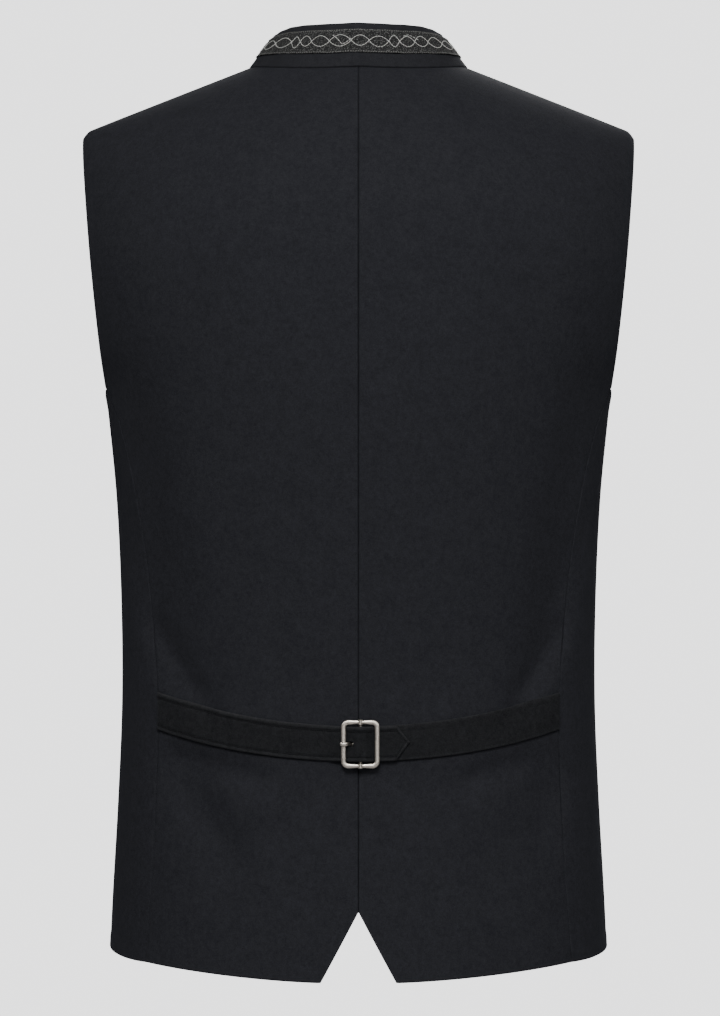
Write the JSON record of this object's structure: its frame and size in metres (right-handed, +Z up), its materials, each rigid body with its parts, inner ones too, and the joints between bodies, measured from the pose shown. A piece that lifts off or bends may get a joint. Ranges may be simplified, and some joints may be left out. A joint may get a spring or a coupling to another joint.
{
  "type": "stand-collar waistcoat with an embroidered collar ribbon, filled out as worn",
  "caption": "Black men's stand-collar waistcoat with a grey embroidered collar ribbon and a buckled cinch belt across the back.",
  "frame": {"origin": "on the mid-plane inside the neck, at the height where the wearer's shoulders carry the garment", "axes": "+Z up, the front faces -Y, the back faces +Y, the garment's left side is +X"},
  "size_m": [0.386, 0.2626, 0.665],
  "materials": {
    "cloth": "matte",
    "ribbon": "matte",
    "nickel": "satin"
  },
  "bodies": {
    "root": {"back_left": "cloth", "back_right": "cloth", "front_left": "cloth", "front_right": "cloth", "collar": "cloth", "collar_ribbon": "ribbon", "belt_left": "cloth", "belt_right": "cloth", "buckle_frame": "nickel", "buckle_prong": "nickel", "front_button_1": "nickel", "front_button_2": "nickel", "front_button_3": "nickel", "front_button_4": "nickel", "front_button_5": "nickel", "front_button_6": "nickel", "front_button_7": "nickel", "front_button_8": "nickel"}
  },
  "joints": []
}
